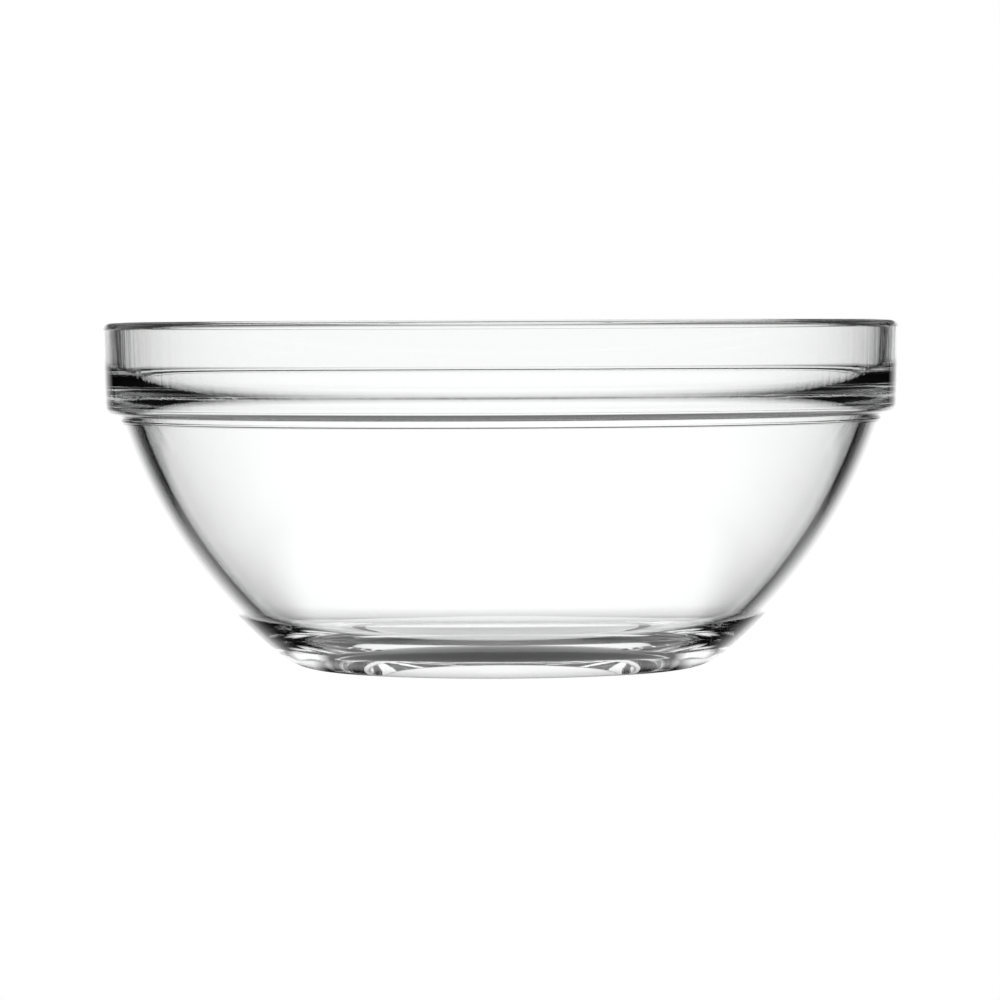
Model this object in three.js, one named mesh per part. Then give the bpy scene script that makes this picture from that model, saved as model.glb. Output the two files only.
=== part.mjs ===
// A clear pressed-glass bowl with a stacking band at its rim.
// It is one moulding, turned about the Z axis: millimetres, +Z up, the foot stands on z = 0.
import * as THREE from 'three';

// Overall sizes
const rimDiameter = 230; // outside of the band, at the crown
const bowlHeight = 100.3; // table to crown

// Rim band, outside
const bandHeight = 26.5; // crown down to the stacking shoulder
const bandTaper = 0.9; // how far the outside draws in from crown to shoulder
const bandWall = 4.9; // glass between the two faces at the crown
const crownOuterRound = 2.2;
const crownInnerRound = 1.7;
const bandLowerRound = 2.6; // outer corner of the shoulder
const shoulderWidth = 4; // step under the band that sits on the next bowl's crown
const neckRound = 0.8; // hollow corner where the wall leaves the shoulder

// Rim band, inside
const bandFaceDepth = 11.3; // crown down to the cove
const bandFaceTaper = 0.5; // how far the inner face draws in on the way down
const coveRadius = 19.5; // hollow curve that leads from the inner face towards the wall
const coveEdgeRound = 12; // and over onto the wall

// Wall
const wallRadius = 146; // curve of the outside, in section
const wallThickness = 5.5;

// Foot and floor
const footRadius = 52; // outer edge of the ring that touches the table
const heelRound = 20; // from the ring up to the wall
const footRingWidth = 8;
const footRingRound = 1; // inner edge of the ring
const recessFlare = 3; // slope from the ring up to the recess
const recessDepth = 3;
const recessRound = 2;
const baseThickness = 4.4; // glass under the floor
const floorRound = 40; // from the floor up to the wall

// Facets
const turnSteps = 72; // around the axis
const filletSteps = 3;
const curveSteps = 10; // along the wall
const bendSteps = 5; // along the heel, the cove and the floor's round

const point = (radius, height) => new THREE.Vector2(radius, height);
const directionTo = (from, to) => to.clone().sub(from);
const heading = (from, to) => Math.atan2(to.y - from.y, to.x - from.x);

// Points of an arc about a centre, between two directions in radians.
function arc(centre, radius, from, to, steps) {
  const points = [];
  for (let i = 0; i <= steps; i += 1) {
    const angle = from + ((to - from) * i) / steps;
    points.push(point(centre.x + radius * Math.cos(angle), centre.y + radius * Math.sin(angle)));
  }
  return points;
}

// The same corner with its tip replaced by an arc that touches both sides.
function roundedCorner(before, corner, after, radius) {
  const toBefore = directionTo(corner, before).normalize();
  const toAfter = directionTo(corner, after).normalize();
  const halfAngle = Math.acos(toBefore.dot(toAfter)) / 2;
  const middle = toBefore.clone().add(toAfter).normalize();
  const centre = corner.clone().addScaledVector(middle, radius / Math.sin(halfAngle));
  const setback = radius / Math.tan(halfAngle);
  const from = heading(centre, corner.clone().addScaledVector(toBefore, setback));
  const to = heading(centre, corner.clone().addScaledVector(toAfter, setback));
  const turn = Math.atan2(Math.sin(to - from), Math.cos(to - from));
  return arc(centre, radius, from, from + turn, filletSteps);
}

// The point at given distances from two others, on the side towards the axis.
function pointAtDistances(first, firstDistance, second, secondDistance) {
  const across = directionTo(first, second);
  const span = across.length();
  const along = (firstDistance ** 2 - secondDistance ** 2 + span ** 2) / (2 * span);
  const aside = Math.sqrt(firstDistance ** 2 - along ** 2);
  across.normalize();
  return point(
    first.x + across.x * along + across.y * aside,
    first.y + across.y * along - across.x * aside,
  );
}

// Corners of the section
const rimRadius = rimDiameter / 2;
const shoulderHeight = bowlHeight - bandHeight;
const crownOuter = point(rimRadius, bowlHeight);
const crownInner = point(rimRadius - bandWall, bowlHeight);
const bandLower = point(rimRadius - bandTaper, shoulderHeight);
const neckCentre = point(bandLower.x - shoulderWidth + neckRound, shoulderHeight - neckRound);
const coveTop = point(crownInner.x - bandFaceTaper, bowlHeight - bandFaceDepth);
const heelCentre = point(footRadius, heelRound);
const wallCentre = pointAtDistances(
  neckCentre,
  wallRadius + neckRound,
  heelCentre,
  wallRadius - heelRound,
);
const innerWallRadius = wallRadius - wallThickness;
const floorHeight = recessDepth + baseThickness;
const ringInner = point(footRadius - footRingWidth, 0);
const recessCorner = point(ringInner.x - recessFlare, recessDepth);

// From the axis out over the recess to the ring that touches the table.
function underside() {
  const centre = point(0, recessDepth);
  const ringOuter = point(footRadius, 0);
  return [
    centre,
    ...roundedCorner(centre, recessCorner, ringInner, recessRound),
    ...roundedCorner(recessCorner, ringInner, ringOuter, footRingRound),
  ];
}

// From the ring round the heel, up the outside and into the hollow corner under the band.
function outerWall() {
  const wallStart = heading(wallCentre, heelCentre);
  const wallEnd = heading(wallCentre, neckCentre);
  return [
    ...arc(heelCentre, heelRound, -Math.PI / 2, wallStart, bendSteps),
    ...arc(wallCentre, wallRadius, wallStart, wallEnd, curveSteps).slice(1),
    ...arc(neckCentre, neckRound, Math.PI + wallEnd, Math.PI / 2, filletSteps).slice(1),
  ];
}

// Round the band: shoulder, outer face and crown.
function rimBand() {
  const shoulderInner = point(neckCentre.x, shoulderHeight);
  return [
    ...roundedCorner(shoulderInner, bandLower, crownOuter, bandLowerRound),
    ...roundedCorner(bandLower, crownOuter, crownInner, crownOuterRound),
    ...roundedCorner(crownOuter, crownInner, coveTop, crownInnerRound),
  ];
}

// From the band's inner face down the hollow cove, the wall and the floor's round to the axis.
function inside() {
  // the cove touches the band's inner face, and the round below it touches both the cove and the wall
  const leanTop = Math.atan2(bandFaceTaper, bandFaceDepth);
  const coveCentre = point(
    coveTop.x - coveRadius * Math.cos(leanTop),
    coveTop.y + coveRadius * Math.sin(leanTop),
  );
  const edgeCentre = pointAtDistances(
    wallCentre,
    innerWallRadius + coveEdgeRound,
    coveCentre,
    coveRadius + coveEdgeRound,
  );
  const coveEnd = heading(coveCentre, edgeCentre);
  const wallStart = heading(wallCentre, edgeCentre);

  // the floor's round touches the wall and the floor
  const floorCentreHeight = floorHeight + floorRound;
  const reach = innerWallRadius - floorRound;
  const floorCentre = point(
    wallCentre.x + Math.sqrt(reach ** 2 - (floorCentreHeight - wallCentre.y) ** 2),
    floorCentreHeight,
  );
  const wallEnd = heading(wallCentre, floorCentre);

  return [
    ...arc(coveCentre, coveRadius, -leanTop, coveEnd, bendSteps),
    ...arc(edgeCentre, coveEdgeRound, coveEnd - Math.PI, wallStart - Math.PI, filletSteps).slice(1),
    ...arc(wallCentre, innerWallRadius, wallStart, wallEnd, curveSteps).slice(1),
    ...arc(floorCentre, floorRound, wallEnd, -Math.PI / 2, bendSteps).slice(1),
    point(0, floorHeight),
  ];
}

function clearGlass() {
  return new THREE.MeshStandardMaterial({
    color: 0xe6edec,
    roughness: 0.03,
    metalness: 0,
    transparent: true,
    opacity: 0.35,
  });
}

function glassBowl() {
  const section = [...underside(), ...outerWall(), ...rimBand(), ...inside()];
  const geometry = new THREE.LatheGeometry(section, turnSteps);
  geometry.rotateX(Math.PI / 2);
  const mesh = new THREE.Mesh(geometry, clearGlass());
  mesh.name = 'glass_bowl';
  return mesh;
}

const bowl = new THREE.Group();
bowl.add(glassBowl());

export default bowl;
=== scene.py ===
import math
import bpy
from mathutils import Matrix, Vector


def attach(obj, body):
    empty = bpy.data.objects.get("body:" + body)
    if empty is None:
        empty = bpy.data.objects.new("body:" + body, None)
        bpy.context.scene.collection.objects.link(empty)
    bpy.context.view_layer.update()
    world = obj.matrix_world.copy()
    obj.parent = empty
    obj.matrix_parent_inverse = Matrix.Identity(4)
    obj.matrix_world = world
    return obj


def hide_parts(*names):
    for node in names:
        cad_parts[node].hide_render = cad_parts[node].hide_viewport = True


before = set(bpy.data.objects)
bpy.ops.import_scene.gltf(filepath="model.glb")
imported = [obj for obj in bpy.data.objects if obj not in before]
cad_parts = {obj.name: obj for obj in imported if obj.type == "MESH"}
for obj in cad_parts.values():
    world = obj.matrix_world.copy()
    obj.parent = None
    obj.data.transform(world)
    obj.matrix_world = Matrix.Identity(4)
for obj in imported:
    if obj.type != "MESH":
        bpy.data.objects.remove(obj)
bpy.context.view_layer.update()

mm = 0.001
glassBounces = 40        # light runs a long way along inside the base
scene = bpy.context.scene
scene.view_settings.view_transform = 'Standard'
scene.cycles.max_bounces = glassBounces
scene.cycles.transmission_bounces = glassBounces
scene.cycles.glossy_bounces = glassBounces

# the bowl: one glass moulding, sizes in millimetres
bowlSpec = {
    "name": "pressedGlassBowl",
    "height": 100.3,
    "rimRadius": 115.0,
    "bandHeight": 26.5,          # crown down to the shoulder
    "bandTaper": 0.9,
    "bandWall": 4.9,
    "crownOuterRound": 2.2,
    "crownInnerRound": 1.7,
    "bandLowerRound": 2.6,
    "shoulderWidth": 4.0,
    "neckRound": 0.8,
    "seamRise": 0.15,            # mould seam that runs round just under the band
    "seamWidth": 0.6,
    "seamDrop": 1.9,             # below the shoulder
    "bandFaceDepth": 11.3,       # crown down to the cove
    "bandFaceTaper": 0.5,
    "coveRadius": 19.5,
    "coveEdgeRound": 12.0,
    "wallRadius": 146.0,
    "wallThickness": 5.5,
    "footRadius": 52.0,
    "heelRound": 20.0,
    "footRingWidth": 8.0,
    "footRingRound": 1.0,
    "recessFlare": 3.0,
    "recessDepth": 3.0,
    "recessRound": 2.0,
    "baseThickness": 4.4,
    "floorRound": 40.0,
    "turnSteps": 128,
    "filletSteps": 20,
    "curveSteps": 140,           # along the wall
    "bendSteps": 90,             # along the heel, the cove and the floor's round
    "seamSteps": 4,
    "neckSteps": 8,              # along the wall between the seam and the neck
    "longStretch": 0.65,         # a stretch longer than this is straight
    "holdEdge": 0.02,            # extra points this close to its ends keep it flat
    "samePoint": 0.002,          # points of the section this close are one
    "weldGap": 0.0004,
}


def heading(start, end):
    return math.atan2(end.y - start.y, end.x - start.x)


def arcPoints(centre, radius, start, end, steps):
    points = []
    for i in range(steps + 1):
        angle = start + (end - start) * i / steps
        points.append(centre + radius * Vector((math.cos(angle), math.sin(angle))))
    return points


# the corner's tip gives way to an arc that touches both sides
def roundedCorner(before, corner, after, radius, steps):
    toBefore = (before - corner).normalized()
    toAfter = (after - corner).normalized()
    half = toBefore.angle(toAfter) / 2
    centre = corner + (toBefore + toAfter).normalized() * (radius / math.sin(half))
    start = heading(centre, corner + toBefore * (radius / math.tan(half)))
    end = heading(centre, corner + toAfter * (radius / math.tan(half)))
    turn = math.atan2(math.sin(end - start), math.cos(end - start))
    return arcPoints(centre, radius, start, start + turn, steps)


# the point at given distances from two others, on the side towards the axis
def pointAtDistances(first, firstDistance, second, secondDistance):
    across = second - first
    span = across.length
    along = (firstDistance ** 2 - secondDistance ** 2 + span ** 2) / (2 * span)
    aside = math.sqrt(firstDistance ** 2 - along ** 2)
    across.normalize()
    return first + across * along + Vector((across.y, -across.x)) * aside


# half of the bowl's section, from the axis underneath round to the axis on the floor
def bowlSection(spec):
    fillet = spec["filletSteps"]
    bend = spec["bendSteps"]
    shoulder = spec["height"] - spec["bandHeight"]
    crownOuter = Vector((spec["rimRadius"], spec["height"]))
    crownInner = crownOuter - Vector((spec["bandWall"], 0))
    bandLower = Vector((spec["rimRadius"] - spec["bandTaper"], shoulder))
    neckCentre = bandLower - Vector((spec["shoulderWidth"] - spec["neckRound"], spec["neckRound"]))
    faceEnd = crownInner - Vector((spec["bandFaceTaper"], spec["bandFaceDepth"]))
    heelCentre = Vector((spec["footRadius"], spec["heelRound"]))
    wallRadius = spec["wallRadius"]
    innerRadius = wallRadius - spec["wallThickness"]
    wallCentre = pointAtDistances(neckCentre, wallRadius + spec["neckRound"],
                                  heelCentre, wallRadius - spec["heelRound"])

    # underside: recess and foot ring
    ringOuter = Vector((spec["footRadius"], 0))
    ringInner = ringOuter - Vector((spec["footRingWidth"], 0))
    recessCentre = Vector((0, spec["recessDepth"]))
    recessCorner = ringInner + Vector((-spec["recessFlare"], spec["recessDepth"]))
    points = [recessCentre]
    points += roundedCorner(recessCentre, recessCorner, ringInner, spec["recessRound"], fillet)
    points += roundedCorner(recessCorner, ringInner, ringOuter, spec["footRingRound"], fillet)

    # heel, outer wall with its seam, and the hollow corner under the band
    wallStart = heading(wallCentre, heelCentre)
    wallEnd = heading(wallCentre, neckCentre)
    seamRadius = wallRadius + spec["seamRise"]
    seamAngle = math.asin((shoulder - spec["seamDrop"] - wallCentre.y) / wallRadius)
    seamHalf = spec["seamWidth"] / 2 / wallRadius
    points += arcPoints(heelCentre, spec["heelRound"], -math.pi / 2, wallStart, bend)
    points += arcPoints(wallCentre, wallRadius, wallStart, seamAngle - seamHalf, spec["curveSteps"])
    points += arcPoints(wallCentre, seamRadius, seamAngle - seamHalf / 2, seamAngle + seamHalf / 2,
                        spec["seamSteps"])
    points += arcPoints(wallCentre, wallRadius, seamAngle + seamHalf, wallEnd, spec["neckSteps"])
    points += arcPoints(neckCentre, spec["neckRound"], math.pi + wallEnd, math.pi / 2, fillet)

    # band: lower corner and the two sides of the crown
    shoulderInner = Vector((neckCentre.x, shoulder))
    points += roundedCorner(shoulderInner, bandLower, crownOuter, spec["bandLowerRound"], fillet)
    points += roundedCorner(bandLower, crownOuter, crownInner, spec["crownOuterRound"], fillet)
    points += roundedCorner(crownOuter, crownInner, faceEnd, spec["crownInnerRound"], fillet)

    # a cove that leans more and more on its way down, and a soft round over to the inner wall
    leanTop = math.atan2(spec["bandFaceTaper"], spec["bandFaceDepth"])
    coveRadius = spec["coveRadius"]
    edgeRound = spec["coveEdgeRound"]
    coveCentre = faceEnd - coveRadius * Vector((math.cos(leanTop), -math.sin(leanTop)))
    edgeCentre = pointAtDistances(wallCentre, innerRadius + edgeRound, coveCentre, coveRadius + edgeRound)
    leanEdge = heading(coveCentre, edgeCentre)
    wallLean = heading(wallCentre, edgeCentre)
    points += arcPoints(coveCentre, coveRadius, -leanTop, leanEdge, bend)
    points += arcPoints(edgeCentre, edgeRound, leanEdge - math.pi, wallLean - math.pi, fillet)

    # inner wall, the round at its foot and the floor
    floorCentre = Vector((0, spec["recessDepth"] + spec["baseThickness"] + spec["floorRound"]))
    reach = innerRadius - spec["floorRound"]
    floorCentre.x = wallCentre.x + math.sqrt(reach ** 2 - (floorCentre.y - wallCentre.y) ** 2)
    floorAngle = heading(wallCentre, floorCentre)
    points += arcPoints(wallCentre, innerRadius, wallLean, floorAngle, spec["curveSteps"])
    points += arcPoints(floorCentre, spec["floorRound"], floorAngle, -math.pi / 2, bend)
    points += [Vector((0, floorCentre.y - spec["floorRound"]))]
    return points


# no point twice, and a held edge beside both ends of every straight stretch
def heldSection(points, spec):
    held = [points[0]]
    for point in points[1:]:
        last = held[-1]
        gap = (point - last).length
        if gap < spec["samePoint"]:
            continue
        if gap > spec["longStretch"]:
            held.append(last.lerp(point, spec["holdEdge"] / gap))
            held.append(last.lerp(point, 1 - spec["holdEdge"] / gap))
        held.append(point)
    return held


# one vertex is drawn along the section, then the line is spun about the bowl's axis
def spinSection(points, spec):
    bpy.ops.object.select_all(action='DESELECT')
    bpy.ops.mesh.primitive_plane_add(size=mm, location=(0, 0, 0))
    piece = bpy.context.object
    piece.name = spec["name"]
    bpy.ops.object.mode_set(mode='EDIT')
    bpy.ops.mesh.select_mode(type='VERT')
    bpy.ops.mesh.select_all(action='SELECT')
    bpy.ops.mesh.merge(type='CENTER')
    bpy.ops.transform.translate(value=(points[0].x * mm, 0, points[0].y * mm))
    for last, point in zip(points, points[1:]):
        step = (point - last) * mm
        bpy.ops.mesh.extrude_region_move(TRANSFORM_OT_translate={"value": (step.x, 0, step.y)})
    bpy.ops.mesh.select_all(action='SELECT')
    bpy.ops.mesh.spin(steps=spec["turnSteps"], angle=2 * math.pi, center=(0, 0, 0), axis=(0, 0, 1))
    bpy.ops.mesh.select_all(action='SELECT')
    bpy.ops.mesh.remove_doubles(threshold=spec["weldGap"] * mm)
    bpy.ops.mesh.normals_make_consistent(inside=False)
    bpy.ops.object.mode_set(mode='OBJECT')
    bpy.ops.object.shade_smooth()
    piece.data.name = spec["name"]
    return piece


section = heldSection(bowlSection(bowlSpec), bowlSpec)
print("section:", len(section), "points")
bowl = spinSection(section, bowlSpec)
print("bowl:", len(bowl.data.vertices), "vertices,", len(bowl.data.polygons), "faces")


# a maths node; each input is a number or the output of another node
def maths(tree, operation, first, second, clamp=False):
    node = tree.nodes.new("ShaderNodeMath")
    node.operation = operation
    node.use_clamp = clamp
    for socket, value in zip(node.inputs, (first, second)):
        if isinstance(value, (int, float)):
            socket.default_value = value
        else:
            tree.links.new(value, socket)
    return node.outputs[0]


# a range of values taken to another range
def mapRange(tree, value, fromMin, fromMax, toMin, toMax):
    node = tree.nodes.new("ShaderNodeMapRange")
    node.inputs["From Min"].default_value = fromMin
    node.inputs["From Max"].default_value = fromMax
    node.inputs["To Min"].default_value = toMin
    node.inputs["To Max"].default_value = toMax
    tree.links.new(value, node.inputs["Value"])
    return node.outputs["Result"]


# clear glass with the faint draw marks and soft patches of a pressed surface
glassSpec = {
    "name": "clearGlass",
    "colour": (0.995, 1.0, 0.997, 1.0),
    "ior": 1.52,
    "markAcross": 420.0,         # draw marks to the metre, round the bowl
    "markAlong": 14.0,           # and up and down it
    "markDetail": 3.0,
    "markHeight": 0.0002,
    "markStrength": 0.12,
    "bandFrom": 0.070,           # the marks show most on the band, from this height up
    "bandTo": 0.080,
    "markBelow": 0.06,           # share of the marks that is left under the band
    "patchScale": 45.0,
    "patchDetail": 4.0,
    "patchFrom": 0.5,            # noise values between which a patch softens
    "patchTo": 0.8,
    "patchRoughness": 0.006,     # of the softest patch
}


def clearGlass(spec):
    material = bpy.data.materials.new(spec["name"])
    material.use_nodes = True
    tree = material.node_tree
    nodes = tree.nodes
    links = tree.links
    shader = nodes["Principled BSDF"]
    shader.inputs["Base Color"].default_value = spec["colour"]
    shader.inputs["IOR"].default_value = spec["ior"]
    shader.inputs["Transmission Weight"].default_value = 1.0
    where = nodes.new("ShaderNodeTexCoord").outputs["Object"]

    stretch = nodes.new("ShaderNodeMapping")
    stretch.inputs["Scale"].default_value = (spec["markAcross"], spec["markAcross"], spec["markAlong"])
    marks = nodes.new("ShaderNodeTexNoise")
    marks.inputs["Scale"].default_value = 1.0
    marks.inputs["Detail"].default_value = spec["markDetail"]
    parts = nodes.new("ShaderNodeSeparateXYZ")
    bump = nodes.new("ShaderNodeBump")
    bump.inputs["Strength"].default_value = spec["markStrength"]
    bump.inputs["Distance"].default_value = spec["markHeight"]
    links.new(where, stretch.inputs["Vector"])
    links.new(stretch.outputs["Vector"], marks.inputs["Vector"])
    links.new(where, parts.inputs[0])
    band = mapRange(tree, parts.outputs["Z"], spec["bandFrom"], spec["bandTo"], spec["markBelow"], 1.0)
    links.new(maths(tree, 'MULTIPLY', marks.outputs["Fac"], band), bump.inputs["Height"])
    links.new(bump.outputs["Normal"], shader.inputs["Normal"])

    patches = nodes.new("ShaderNodeTexNoise")
    patches.inputs["Scale"].default_value = spec["patchScale"]
    patches.inputs["Detail"].default_value = spec["patchDetail"]
    links.new(where, patches.inputs["Vector"])
    soft = mapRange(tree, patches.outputs["Fac"], spec["patchFrom"], spec["patchTo"],
                    0.0, spec["patchRoughness"])
    links.new(soft, shader.inputs["Roughness"])
    return material


bowl.data.materials.append(clearGlass(glassSpec))
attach(bowl, "root")
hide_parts("glass_bowl")
print("glass: done")


# everything on the table is a flat white disc that gives its own light, sizes in metres
whiteSpec = {
    "corners": 128,
    "colour": (1.0, 1.0, 1.0, 1.0),
    "strength": 1.0,
}


def whiteDisc(name, radius, spec):
    bpy.ops.object.select_all(action='DESELECT')
    bpy.ops.mesh.primitive_circle_add(vertices=whiteSpec["corners"], radius=radius, fill_type='NGON',
                                      location=(0, 0, spec["height"]))
    disc = bpy.context.object
    disc.name = name
    for ray in spec["hiddenFrom"]:
        setattr(disc, "visible_" + ray, False)
    material = bpy.data.materials.new(name)
    material.use_nodes = True
    tree = material.node_tree
    tree.nodes.clear()
    glow = tree.nodes.new("ShaderNodeEmission")
    glow.inputs["Color"].default_value = whiteSpec["colour"]
    glow.inputs["Strength"].default_value = whiteSpec["strength"]
    surface = tree.nodes.new("ShaderNodeOutputMaterial")
    tree.links.new(glow.outputs[0], surface.inputs["Surface"])
    disc.data.materials.append(material)
    return disc


# makes an oval that reaches from one distance behind the bowl's axis to another
def stretchDisc(disc, halfWidth, start, end):
    disc.scale.y = (end - start) / 2 / halfWidth
    disc.location.y = (end + start) / 2


# a value that changes along the radius of a disc, from pairs of radius and value
def ringValue(disc, radius, stops):
    tree = disc.data.materials[0].node_tree
    where = tree.nodes.new("ShaderNodeTexCoord")
    reach = tree.nodes.new("ShaderNodeVectorMath")
    reach.operation = 'LENGTH'
    ramp = tree.nodes.new("ShaderNodeValToRGB")
    marks = ramp.color_ramp.elements
    ends = [marks[0], marks[1]]
    for mark, (place, value) in zip(ends, (stops[0], stops[-1])):
        mark.position = place / radius
        mark.color = (value, value, value, 1)
    for place, value in stops[1:-1]:
        marks.new(place / radius).color = (value, value, value, 1)
    tree.links.new(where.outputs["Object"], reach.inputs[0])
    tree.links.new(mapRange(tree, reach.outputs["Value"], 0.0, radius, 0.0, 1.0), ramp.inputs["Fac"])
    return ramp.outputs["Color"]


def softRound(disc, radius, soft):
    return ringValue(disc, radius, [(0.0, 1.0), (radius - soft, 1.0), (radius, 0.0)])


# 1 for light that is mirrored in the glass fewer times than the limit, else 0
def mirroredBelow(tree, path, limit):
    mirrored = maths(tree, 'SUBTRACT', path.outputs["Ray Depth"], path.outputs["Transmission Depth"])
    return maths(tree, 'LESS_THAN', mirrored, limit)


# the disc is white where the share is 1 and clear where it is 0
def showWhere(disc, share):
    tree = disc.data.materials[0].node_tree
    clear = tree.nodes.new("ShaderNodeBsdfTransparent")
    mix = tree.nodes.new("ShaderNodeMixShader")
    tree.links.new(share, mix.inputs[0])
    tree.links.new(clear.outputs[0], mix.inputs[1])
    tree.links.new(tree.nodes["Emission"].outputs[0], mix.inputs[2])
    tree.links.new(mix.outputs[0], tree.nodes["Material Output"].inputs["Surface"])


# the only part of the table that every ray in the glass can see
cardSpec = {
    "name": "card",
    "height": -0.0001,
    "halfWidth": 0.058,
    "start": -0.08,
    "end": 0.085,
    "hiddenFrom": ("camera",),
}
card = whiteDisc(cardSpec["name"], cardSpec["halfWidth"], cardSpec)
stretchDisc(card, cardSpec["halfWidth"], cardSpec["start"], cardSpec["end"])


# shade of the foot ring, faint where it is seen straight through the glass
shadeSpec = {
    "name": "footShade",
    "height": -0.00005,
    "radius": 0.066,
    "inner": 0.046,
    "outer": 0.06,
    "soft": 0.003,
    "dark": 0.01,
    "faint": 0.8,
    "mirrorLimit": 0.5,
    "hiddenFrom": ("camera",),
}


def footShade(spec):
    disc = whiteDisc(spec["name"], spec["radius"], spec)
    tree = disc.data.materials[0].node_tree
    half = spec["soft"] / 2
    dark = spec["dark"]
    stops = [(spec["inner"] - half, 1.0), (spec["inner"] + half, dark),
             (spec["outer"] - half, dark), (spec["outer"] + half, 1.0)]
    shade = ringValue(disc, spec["radius"], stops)
    path = tree.nodes.new("ShaderNodeLightPath")
    faint = maths(tree, 'MULTIPLY', mirroredBelow(tree, path, spec["mirrorLimit"]), spec["faint"])
    tree.links.new(maths(tree, 'MAXIMUM', shade, faint), tree.nodes["Emission"].inputs["Strength"])


footShade(shadeSpec)


# a bright round of table to either side, which shows on the outside of the wall
sideSpec = {
    "names": ("leftGlow", "rightGlow"),
    "height": -0.00015,
    "side": 0.24,
    "front": 0.05,
    "radius": 0.16,
    "soft": 0.04,
    "hiddenFrom": ("camera", "transmission"),
}
for name, side in zip(sideSpec["names"], (-sideSpec["side"], sideSpec["side"])):
    glow = whiteDisc(name, sideSpec["radius"], sideSpec)
    glow.location.x = side
    glow.location.y = -sideSpec["front"]
    showWhere(glow, softRound(glow, sideSpec["radius"], sideSpec["soft"]))


# the table behind, for light that comes through one wall and isn't mirrored in it
rearSpec = {
    "name": "rearGlow",
    "height": -0.00012,
    "halfWidth": 0.22,
    "start": 0.04,
    "end": 0.26,
    "soft": 0.02,
    "mirrorLimit": 0.5,
    "wallLimit": 2.5,            # one wall is two passes
    "hiddenFrom": ("camera", "glossy"),
}


def rearGlow(spec):
    disc = whiteDisc(spec["name"], spec["halfWidth"], spec)
    stretchDisc(disc, spec["halfWidth"], spec["start"], spec["end"])
    tree = disc.data.materials[0].node_tree
    path = tree.nodes.new("ShaderNodeLightPath")
    oneWall = maths(tree, 'LESS_THAN', path.outputs["Transmission Depth"], spec["wallLimit"])
    share = maths(tree, 'MULTIPLY', oneWall, mirroredBelow(tree, path, spec["mirrorLimit"]))
    showWhere(disc, maths(tree, 'MULTIPLY', share, softRound(disc, spec["halfWidth"], spec["soft"])))


rearGlow(rearSpec)

# the white table that the camera sees
tableSpec = {
    "name": "whiteTable",
    "height": -0.0002,
    "radius": 6.0,
    "hiddenFrom": ("transmission", "glossy"),
}
whiteDisc(tableSpec["name"], tableSpec["radius"], tableSpec)
print("table: done")


# bright-field light: a white backdrop straight behind the bowl and a dark room beside it, in degrees
backdropSpec = {
    "name": "brightField",
    "colour": (1.0, 1.0, 1.0, 1.0),
    "strength": 1.14,
    "halfWidth": 20.0,           # of the backdrop, to either side of +Y
    "sideSoft": 14.0,
    "top": 6.5,                  # elevation of its upper edge
    "topSoft": 4.0,
    "bottom": -23.5,             # and of its lower edge
    "bottomSoft": 17.0,
    "haze": 0.12,                # dim light above and below it
    "under": -42.0,              # under this elevation everything is white
    "underSoft": 8.0,
    "frontTurn": 80.0,           # beyond this azimuth, and under frontEdge, it is white too
    "frontSoft": 40.0,
    "frontEdge": -30.0,
    "frontEdgeSoft": 12.0,
    "clearTurn": 32.0,           # beyond this azimuth, what is seen straight through the glass is white
    "clearSoft": 10.0,
    "clearTop": 7.0,
    "mirrorLimit": 1.5,          # the ray to the backdrop counts as one
    "room": 0.003,
}


# 0 before the edge, 1 after it, and soft across it
def rise(tree, value, edge, soft):
    return maths(tree, 'DIVIDE', maths(tree, 'SUBTRACT', value, edge - soft / 2), soft, True)


def fall(tree, value, edge, soft):
    return maths(tree, 'DIVIDE', maths(tree, 'SUBTRACT', edge + soft / 2, value), soft, True)


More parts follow.
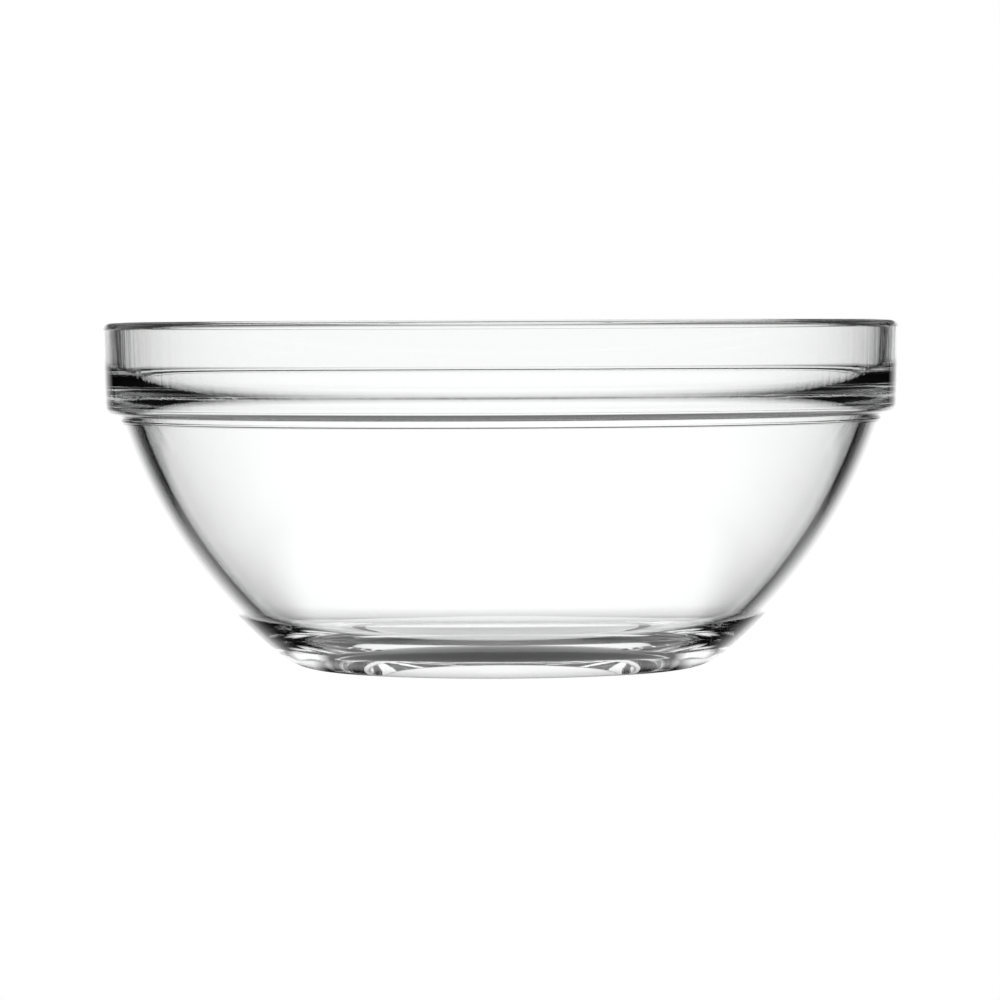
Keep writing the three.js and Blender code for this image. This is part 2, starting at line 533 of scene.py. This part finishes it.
def brightField(spec):
    world = bpy.data.worlds.new(spec["name"])
    world.use_nodes = True
    tree = world.node_tree
    nodes = tree.nodes
    links = tree.links
    nodes.clear()

    where = nodes.new("ShaderNodeTexCoord")
    parts = nodes.new("ShaderNodeSeparateXYZ")
    links.new(where.outputs["Generated"], parts.inputs[0])
    x, y, z = parts.outputs
    degrees = 180 / math.pi
    turn = maths(tree, 'ARCTAN2', x, y)
    turn = maths(tree, 'MULTIPLY', maths(tree, 'ABSOLUTE', turn, 0.0), degrees)
    height = maths(tree, 'MULTIPLY', maths(tree, 'ARCSINE', z, 0.0), degrees)

    # backdrop, with haze above and below it
    behind = fall(tree, turn, spec["halfWidth"], spec["sideSoft"])
    white = maths(tree, 'MULTIPLY', behind, fall(tree, height, spec["top"], spec["topSoft"]))
    white = maths(tree, 'MULTIPLY', white, rise(tree, height, spec["bottom"], spec["bottomSoft"]))
    white = maths(tree, 'MAXIMUM', white, maths(tree, 'MULTIPLY', behind, spec["haze"]))

    # what lies low, and a little higher towards the camera
    white = maths(tree, 'MAXIMUM', white, fall(tree, height, spec["under"], spec["underSoft"]))
    front = rise(tree, turn, spec["frontTurn"], spec["frontSoft"])
    front = maths(tree, 'MULTIPLY', front, fall(tree, height, spec["frontEdge"], spec["frontEdgeSoft"]))
    white = maths(tree, 'MAXIMUM', white, front)

    # light that came through without being mirrored inside the glass
    path = nodes.new("ShaderNodeLightPath")
    clear = rise(tree, turn, spec["clearTurn"], spec["clearSoft"])
    clear = maths(tree, 'MULTIPLY', clear, mirroredBelow(tree, path, spec["mirrorLimit"]))
    clear = maths(tree, 'MULTIPLY', clear, maths(tree, 'LESS_THAN', height, spec["clearTop"]))
    white = maths(tree, 'MAXIMUM', white, clear)
    white = maths(tree, 'MAXIMUM', white, spec["room"])

    # the camera itself sees plain white
    seen = nodes.new("ShaderNodeBackground")
    seen.inputs["Color"].default_value = spec["colour"]
    light = nodes.new("ShaderNodeBackground")
    light.inputs["Color"].default_value = spec["colour"]
    links.new(maths(tree, 'MULTIPLY', white, spec["strength"]), light.inputs["Strength"])
    mix = nodes.new("ShaderNodeMixShader")
    links.new(path.outputs["Is Camera Ray"], mix.inputs[0])
    links.new(light.outputs[0], mix.inputs[1])
    links.new(seen.outputs[0], mix.inputs[2])
    output = nodes.new("ShaderNodeOutputWorld")
    links.new(mix.outputs[0], output.inputs["Surface"])
    return world


scene.world = brightField(backdropSpec)
print("light: done")


# long lens, a little above the crown
cameraSpec = {
    "name": "frontCamera",
    "distance": 1.65,
    "height": 0.1045,
    "side": -0.0004,
    "pixelsPerUnit": 5698.0,     # focal length in pixels of the 1000 pixel frame
    "horizonRow": 306.3,
    "roll": 0.27,
    "frame": 1000.0,
    "sensor": 36.0,
    "clipEnd": 100.0,
}


def frontCamera(spec):
    bpy.ops.object.select_all(action='DESELECT')
    bpy.ops.object.camera_add()
    camera = bpy.context.object
    camera.name = spec["name"]
    camera.data.sensor_width = spec["sensor"]
    camera.data.lens = spec["sensor"] * spec["pixelsPerUnit"] / spec["frame"]
    camera.data.clip_end = spec["clipEnd"]
    pitch = math.atan((spec["frame"] / 2 - spec["horizonRow"]) / spec["pixelsPerUnit"])
    place = Matrix.Translation((spec["side"], -spec["distance"], spec["height"]))
    tilt = Matrix.Rotation(math.pi / 2 - pitch, 4, 'X')
    camera.matrix_world = place @ tilt @ Matrix.Rotation(-math.radians(spec["roll"]), 4, 'Z')
    return camera


scene.camera = frontCamera(cameraSpec)
print("camera: done")
